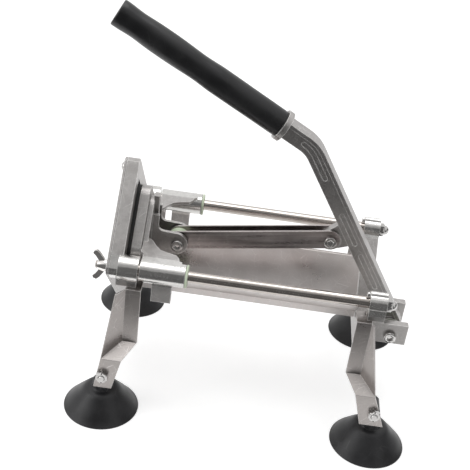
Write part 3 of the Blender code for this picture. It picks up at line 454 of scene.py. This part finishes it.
cast_look = dict(
    dark=(0.34, 0.325, 0.317), light=(0.485, 0.47, 0.46), edge=(0.90, 0.89, 0.87),
    rough=(0.34, 0.48), grain=1100.0, blotch=160.0, mottle=0.4, edge_radius=0.0013,
)
finishes = {
    "casting": metal("bead_blasted_casting", bump=0.16, **cast_look),
    "machined_casting": metal("machined_casting", bump=0.12, machined=True, **cast_look),
    "sheet": metal(
        "rolled_sheet",
        dark=(0.49, 0.455, 0.44), light=(0.60, 0.565, 0.55), edge=(0.90, 0.88, 0.86),
        rough=(0.26, 0.38), grain=700.0, blotch=26.0, mottle=0.8, bump=0.04,
    ),
    # The legs take a darker copy of the rolled sheet, which is painted shade
    "shaded_leg_sheet": metal(
        "leg_sheet_in_painted_shade",
        dark=(0.33, 0.305, 0.295), light=(0.42, 0.395, 0.38), edge=(0.90, 0.88, 0.86),
        rough=(0.26, 0.38), grain=700.0, blotch=40.0, mottle=0.6, bump=0.05,
    ),
    # The rods take a darker copy of the polished steel, which is a painted dark reflection of their
    # surroundings
    "rod": metal(
        "rod_with_painted_dark_reflection",
        dark=(0.46, 0.42, 0.39), light=(0.57, 0.53, 0.50), edge=(0.85, 0.83, 0.81),
        rough=(0.08, 0.17), grain=1500.0, stretch=30.0, blotch=90.0, bump=0.02, scratched=0.4,
    ),
    "screw": metal(
        "plated_screw",
        dark=(0.42, 0.41, 0.40), light=(0.62, 0.61, 0.60), edge=(0.85, 0.84, 0.83),
        rough=(0.10, 0.20), grain=1500.0, blotch=90.0, mottle=0.6, bump=0.02, scratched=0.3,
    ),
    "polished": metal(
        "polished_steel",
        dark=(0.80, 0.775, 0.75), light=(0.90, 0.88, 0.86), edge=(0.95, 0.94, 0.93),
        rough=(0.06, 0.15), grain=1500.0, stretch=20.0, blotch=90.0, mottle=0.6, bump=0.02,
        scratched=0.3,
    ),
    "dark_sheet": metal(
        "dark_pressed_sheet",
        dark=(0.20, 0.175, 0.17), light=(0.54, 0.49, 0.48), edge=(0.85, 0.82, 0.80),
        rough=(0.24, 0.40), grain=300.0, stretch=40.0, tilt=0.166, blotch=50.0, mottle=0.25,
        bump=0.06,
    ),
    "blade": metal(
        "ground_blade",
        dark=(0.50, 0.50, 0.51), light=(0.68, 0.68, 0.69), edge=(0.92, 0.92, 0.93),
        rough=(0.12, 0.24), grain=1200.0, blotch=80.0, bump=0.02,
    ),
    "rubber": moulded(
        "moulded_rubber",
        dark=(0.010, 0.010, 0.011), light=(0.020, 0.020, 0.022), worn_and_highlit=(0.06, 0.06, 0.062),
        rough=(0.34, 0.50),
    ),
    "grip": moulded(
        "grip_rubber",
        dark=(0.008, 0.008, 0.009), light=(0.016, 0.016, 0.017), worn_and_highlit=(0.05, 0.05, 0.052),
        rough=(0.30, 0.44),
    ),
    "plastic": moulded(
        "black_plastic",
        dark=(0.010, 0.010, 0.010), light=(0.020, 0.020, 0.020), worn_and_highlit=(0.07, 0.07, 0.07),
        rough=(0.50, 0.65),
    ),
    "nylon": moulded(
        "pale_nylon",
        dark=(0.60, 0.71, 0.50), light=(0.72, 0.80, 0.63), worn_and_highlit=(0.85, 0.88, 0.78),
        rough=(0.35, 0.50), bump=0.05,
    ),
}
finish_of_slot = {
    "cast_metal": "casting", "sheet_steel": "sheet", "polished_steel": "polished",
    "dark_steel": "dark_sheet", "blade_steel": "blade", "black_rubber": "rubber",
    "black_plastic": "plastic", "pale_nylon": "nylon",
}


def paint(piece, finish):
    piece.data.materials.clear()
    piece.data.materials.append(finishes[finish])


# Making pieces

sharp_angle = 40.0


def stand_for(piece, node, finish=None):
    """The piece takes the place of a CAD node and moves with its body."""
    paint(piece, finish or finish_of_slot[slot_of[node]])
    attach(piece, body_of[node])
    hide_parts(node)


def hex_reach(half, angle):
    sixth = math.pi / 3
    return half / math.cos((angle + sixth / 2) % sixth - sixth / 2)


def reach_at(reach, angle):
    # A number is a circle, (half width,) a hexagon, (radius, half width) a circle that the
    # hexagon cuts, and a function gives its own reach
    if callable(reach):
        return reach(angle)
    if not isinstance(reach, tuple):
        return reach
    return min(hex_reach(reach[-1], angle), reach[0] if len(reach) > 1 else math.inf)


def turned(name, profile, centre, axis, steps=72):
    """A turned piece. The profile runs from the axis to the axis, or round a bore."""
    turn = along_z.rotation_difference(axis).to_matrix()
    spots, faces, rings = [], [], []
    for reach, along in profile:
        if reach == 0:
            rings.append([len(spots)] * steps)
            spots.append(centre + turn @ Vector((0, 0, along)))
            continue
        rings.append([len(spots) + step for step in range(steps)])
        for step in range(steps):
            angle = 2 * math.pi * step / steps
            radius = reach_at(reach, angle)
            flat = Vector((radius * math.cos(angle), radius * math.sin(angle), along))
            spots.append(centre + turn @ flat)
    pairs = list(zip(rings, rings[1:]))
    if profile[0][0] != 0:
        pairs.append((rings[-1], rings[0]))
    for ring, follower in pairs:
        for step in range(steps):
            after = (step + 1) % steps
            corners = [ring[step], ring[after], follower[after], follower[step]]
            corners = list(dict.fromkeys(corners))
            if len(corners) > 2:
                faces.append(corners)
    mesh = bpy.data.meshes.new(name)
    mesh.from_pydata(spots, [], faces)
    mesh.validate()
    mesh.shade_smooth()
    mesh.set_sharp_from_angle(angle=math.radians(sharp_angle))
    piece = bpy.data.objects.new(name, mesh)
    bpy.context.scene.collection.objects.link(piece)
    return piece


def thread_rings(radius, root, start, pitch, rings):
    """The profile of a thread as closed rings, which are cut down to the root's share."""
    profile = []
    for ring in range(rings):
        base = start + ring * pitch
        profile += [
            (radius, base + pitch * 0.2), (radius * root, base + pitch * 0.5),
            (radius, base + pitch * 0.8),
        ]
    return profile


# Handle grip

grip_radius = 0.014
grip_bore = 0.0106
grip_tip_wall = 0.005
grip_tip_step = 0.0004

# Shares of the grip's length, and of its radius there
grip_waists = [
    (0.0, 0.975), (0.02, 0.99), (0.20, 0.992), (0.33, 0.998), (0.40, 1.0), (0.43, 0.988),
    (0.46, 0.965), (0.49, 0.946), (0.51, 0.94), (0.535, 0.944), (0.56, 0.955), (0.61, 0.98),
    (0.66, 0.995), (0.70, 1.0), (0.74, 0.998), (0.78, 0.99), (0.81, 0.975), (0.84, 0.955),
    (0.865, 0.94), (0.885, 0.935), (0.905, 0.942), (0.93, 0.96), (0.95, 0.975), (0.968, 0.985),
    (0.992, 0.985), (0.997, 0.965), (1.0, 0.93),
]


def make_grip():
    middle, axis, low, high = long_axis("handle_grip", (-1, 0, 0.5))
    length = high - low
    wall, step = high - grip_tip_wall, high - grip_tip_step
    profile = [(0, wall), (grip_bore, wall), (grip_bore, low)]
    profile += [(grip_radius * out, low + length * along) for along, out in grip_waists]
    profile += [
        (grip_radius * 0.84, high), (grip_radius * 0.80, step), (grip_radius * 0.76, step),
        (grip_radius * 0.72, high), (0, high),
    ]
    stand_for(turned("grip_sleeve", profile, middle, axis, 96), "handle_grip", "grip")


# Suction cups

# Reach and height in millimetres, from the hollow underneath to the top of the neck
cup_profile = [
    (0.0, 3.5), (8.0, 3.6), (17.0, 3.2), (27.0, 1.6), (33.8, 0.0), (39.2, 0.0), (39.75, 0.35),
    (39.75, 1.0), (39.3, 1.5), (37.8, 2.8), (35.2, 6.1), (32.6, 9.2), (30.0, 12.2), (27.2, 15.1),
    (24.4, 18.0), (22.4, 20.4), (20.5, 22.5), (18.9, 24.2), (17.1, 25.4), (15.6, 26.0),
    (13.5, 26.5), (12.0, 26.5), (11.2, 26.9), (10.6, 27.8), (10.2, 29.2), (10.0, 31.0),
    (10.0, 34.8), (9.6, 35.7), (8.8, 36.0), (0.0, 36.0),
]
tongue_half_width = 0.0065
tongue_half_depth = 0.010
tongue_bore = 0.0033
tongue_drop = 0.024
tongue_corner = 0.0007
narrowest_slope = 0.001


def tongue_reach(inset):
    """The tongue's outline round its bolt: round above, straight down into the neck."""
    def reach(angle):
        if math.sin(angle) <= 0:
            return tongue_half_width - inset
        side = tongue_half_width / max(abs(math.cos(angle)), narrowest_slope)
        return min(side, tongue_drop / math.sin(angle)) - inset
    return reach


def make_tongue(end, side, cup_middle):
    """The upright lug of a cup, which its foot bolt holds against the leg."""
    bolt = middle_of(f"foot_bolt_{end}_{side}")
    outline, inner = tongue_reach(0.0), tongue_reach(tongue_corner)
    edge = tongue_half_depth - tongue_corner
    profile = [
        (tongue_bore, -tongue_half_depth), (inner, -tongue_half_depth), (outline, -edge),
        (outline, edge), (inner, tongue_half_depth), (tongue_bore, tongue_half_depth),
    ]
    place = Vector((bolt.x, cup_middle.y, bolt.z))
    return turned(f"cup_tongue_{end}_{side}", profile, place, along_y, 64)


def make_cups():
    profile = [(reach / 1000, rise / 1000) for reach, rise in cup_profile]
    for end in ends:
        for side in sides:
            node = f"suction_cup_{end}_{side}"
            low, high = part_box(node)
            centre = Vector(((low.x + high.x) / 2, (low.y + high.y) / 2, low.z))
            stand_for(turned(f"cup_{end}_{side}", profile, centre, along_z, 120), node)
            tongue = make_tongue(end, side, centre)
            paint(tongue, "rubber")
            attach(tongue, body_of[node])


# Screws, bolts and nuts

# Radii of head and shank, height of the head, half width and depth of the hexagon socket,
# and length of the thread that shows
pivot_size = dict(
    head=0.0066, height=0.0040, shank=0.0050, socket=0.0028, depth=0.0022, thread=0.0064)
crank_size = dict(
    head=0.0066, height=0.0040, shank=0.0040, socket=0.0028, depth=0.0022, thread=0.0064)
clevis_size = dict(head=0.0066, height=0.0040, shank=0.0040, socket=0.0028, depth=0.0022)
foot_size = dict(
    head=0.0050, height=0.0040, shank=0.0030, socket=0.0023, depth=0.0022, thread=0.0056)
small_size = dict(head=0.0050, height=0.0028, shank=0.0024, socket=0.0018, depth=0.0011)
clamp_size = dict(head=0.0026, height=0.0028, shank=0.0018, socket=0.0012, depth=0.0011)
nut_half = 0.0060
nut_play = 0.0003


def bolt_profile(shank, grip, head, height, socket, depth, thread=0.0):
    """Head below zero, shank above, with a hexagon socket and thread rings at the tip."""
    lip = min(0.0006, height / 4)
    socket_edge, socket_flare, tip = 0.0002, 1.22, 0.0003
    pitch, root = 0.0008, 0.88
    rings = int(thread / pitch)
    start = grip - rings * pitch - tip
    profile = [
        (0, depth - height), ((socket,), depth - height), ((socket,), socket_edge - height),
        (socket * socket_flare, -height), (head - lip, -height),
        (head - lip / 3, lip / 3 - height), (head, lip - height), (head, -lip / 2),
        (head - lip / 2, 0), (shank, 0), (shank, start),
    ]
    profile += thread_rings(shank, root, start, pitch, rings)
    profile += [(shank - tip, grip), (0, grip)]
    return profile


def make_bolt(node, way, height, **sizes):
    low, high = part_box(node)
    middle = (low + high) / 2
    length = abs((high - low).dot(way))
    base = middle - way * (length / 2 - height)
    profile = bolt_profile(grip=length - height, height=height, **sizes)
    stand_for(turned(node + "_turned", profile, base, way, 48), node, "screw")


def nut_profile(bore, half, height):
    corner = half / math.cos(math.pi / 6)
    bevel, mouth = (corner - half) * 0.6, 0.0004
    return [
        (bore + mouth, 0), (half, 0), ((corner, half), bevel), ((corner, half), height - bevel),
        (half, height), (bore + mouth, height), (bore, height - mouth), (bore, mouth),
    ]


def make_nut(node, way, bolt_size):
    low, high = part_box(node)
    middle = (low + high) / 2
    length = abs((high - low).dot(way))
    base = middle - way * (length / 2)
    profile = nut_profile(bolt_size["shank"] + nut_play, nut_half, length)
    stand_for(turned(node + "_turned", profile, base, way, 72), node, "screw")


def make_cover_screw(node):
    """A low domed head with a hexagon socket."""
    height, shank, socket, socket_floor, socket_edge = 0.0028, 0.0024, 0.0016, 0.0016, 0.0001
    dome = [(0.0020, 0.0028), (0.0030, 0.0025), (0.0040, 0.0018), (0.0047, 0.0009), (0.0050, 0)]
    base, length = start_of(node)
    base.x += height
    tip = length - height
    profile = [(0, -socket_floor), ((socket,), -socket_floor), ((socket,), socket_edge - height)]
    profile += [(reach, -rise) for reach, rise in dome]
    profile += [(shank, 0), (shank, tip), (0, tip)]
    stand_for(turned(node + "_turned", profile, base, along_x, 48), node, "screw")


def make_fasteners():
    make_bolt("pivot_bolt", along_y, **pivot_size)
    make_bolt("crank_bolt", along_y, **crank_size)
    make_nut("pivot_nut", along_y, pivot_size)
    make_nut("crank_nut", along_y, crank_size)
    for side, out in (("near", -along_y), ("far", along_y)):
        make_bolt(f"clevis_screw_{side}", -out, **clevis_size)
        make_bolt(f"block_screw_{side}", -along_x, **small_size)
        make_bolt(f"clamp_screw_{side}", along_x, **clamp_size)
        for end in ends:
            make_bolt(f"foot_bolt_{end}_{side}", out, **foot_size)
            make_nut(f"foot_nut_{end}_{side}", out, foot_size)
            make_bolt(f"leg_screw_{end}_{side}", along_z, **small_size)
    for place in ("bottom", "top"):
        make_cover_screw(f"cover_screw_{place}")


def make_acorn_nuts():
    """A hexagon with a dome, and a blind bore from its flat end."""
    half, hexagon, edge = 0.0064, 0.0055, 0.0006
    bore, bore_depth = 0.0043, 0.0085
    dome_foot, dome_radius, dome_start, dome_steps = 0.0055, 0.0054, 0.0058, 8
    corner = half / math.cos(math.pi / 6)
    for side in sides:
        node = f"acorn_nut_{side}"
        base, length = start_of(node)
        profile = [
            (0, bore_depth), (bore, bore_depth), (bore, 0), (half, 0), ((corner, half), edge),
            ((corner, half), hexagon - 0.0007), (half - 0.0004, hexagon),
            (dome_foot, hexagon + 0.0002),
        ]
        for step in range(1, dome_steps):
            angle = math.pi / 2 * step / dome_steps
            rise = dome_start + (length - dome_start) * math.sin(angle)
            profile.append((dome_radius * math.cos(angle), rise))
        profile.append((0, length))
        stand_for(turned(node + "_turned", profile, base, along_x, 72), node, "screw")


# Guide rods, bushes, roller and washers

def make_rods():
    radius, stud, chamfer = 0.006, 0.004, 0.0006
    pitch, root, rings = 0.001, 0.90, 12
    frame_seat, clamp_seat = 0.0085, 0.018
    for side in sides:
        node = f"guide_rod_{side}"
        base, length = start_of(node)
        front_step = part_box("front_frame")[0].x + frame_seat - base.x
        rear_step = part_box("rear_frame")[0].x + clamp_seat - base.x
        profile = [(0, 0), (stud - chamfer, 0), (stud, chamfer)]
        profile += thread_rings(stud, root, chamfer, pitch, rings)
        profile += [
            (stud, front_step), (radius, front_step), (radius, rear_step), (stud, rear_step),
            (stud, length), (0, length),
        ]
        # The rods take the darkened finish, a painted reflection
        stand_for(turned(node + "_turned", profile, base, along_x, 64), node, "rod")


def make_sleeve_bush(side):
    bore, radius, mouth, mouth_depth = 0.00605, 0.008, 0.0068, 0.0006
    flange, flange_depth, corner = 0.012, 0.0024, 0.0005
    node = f"sleeve_bush_{side}"
    base, length = start_of(node)
    step = length - flange_depth
    profile = [
        (bore, 0), (radius, 0), (radius, step), (flange - corner, step), (flange, step + corner),
        (flange, length - corner), (flange - corner, length), (mouth, length),
        (bore, length - mouth_depth),
    ]
    stand_for(turned(node + "_turned", profile, base, along_x, 64), node)


def make_ring(node, bore, reach, corner):
    """A flat ring across the machine, with its rims cut at an angle."""
    low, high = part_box(node)
    half = (high.y - low.y) / 2
    profile = [
        (bore, -half), (reach - corner, -half), (reach, corner - half), (reach, half - corner),
        (reach - corner, half), (bore, half),
    ]
    stand_for(turned(node + "_turned", profile, middle_of(node), along_y, 64), node)


def make_bushes_and_rings():
    for side in sides:
        make_sleeve_bush(side)
        make_ring(f"pivot_washer_{side}", bore=0.0053, reach=0.0095, corner=0.0005)
    make_ring("link_roller", bore=0.0043, reach=0.0118, corner=0.0010)


# The rest of the machine keeps its solids, with rounded corners and real finishes

weld_reach = 0.00002
flat_angle = 0.6
rounded_angle = 30.0
legs = [f"leg_{end}_{side}" for end in ends for side in sides]
machined_nodes = ["front_frame", "rear_frame", "pusher_carriage"]
corner_widths = {
    "front_frame": 0.0009, "cover_plate": 0.0005, "rear_frame": 0.0009, "push_block": 0.0007,
    "pusher_carriage": 0.0006, "handle_arm": 0.0008, "link": 0.0005, "tray": 0.0003,
    "toothed_plate": 0.0002, "wing_nut_near": 0.0005, "wing_nut_far": 0.0005,
    **{leg: 0.0006 for leg in legs},
}


def soften(node, width):
    """Rounds a CAD node's corners, which catch the light on the real one."""
    thing = nodes[node]
    weld = thing.modifiers.new("weld", "WELD")
    weld.merge_threshold = weld_reach
    flat = thing.modifiers.new("merge_flat_faces", "DECIMATE")
    flat.decimate_type = "DISSOLVE"
    flat.angle_limit = math.radians(flat_angle)
    bevel = thing.modifiers.new("rounded_edges", "BEVEL")
    bevel.width = width
    bevel.segments = 2
    bevel.limit_method = "ANGLE"
    bevel.angle_limit = math.radians(rounded_angle)
    bevel.use_clamp_overlap = True
    bevel.harden_normals = False
    even = thing.modifiers.new("even_shading", "WEIGHTED_NORMAL")
    even.keep_sharp = False
    for face in thing.data.polygons:
        face.use_smooth = True


def dress_solids():
    for node, thing in nodes.items():
        paint(thing, finish_of_slot[slot_of[node]])
    for node in machined_nodes:
        paint(nodes[node], "machined_casting")
    # The legs are painted darker than the other sheet, as painted shade
    for node in legs:
        paint(nodes[node], "shaded_leg_sheet")
    for node, width in corner_widths.items():
        soften(node, width)


set_camera()
set_studio()
dress_solids()
make_grip()
make_cups()
make_fasteners()
make_acorn_nuts()
make_rods()
make_bushes_and_rings()
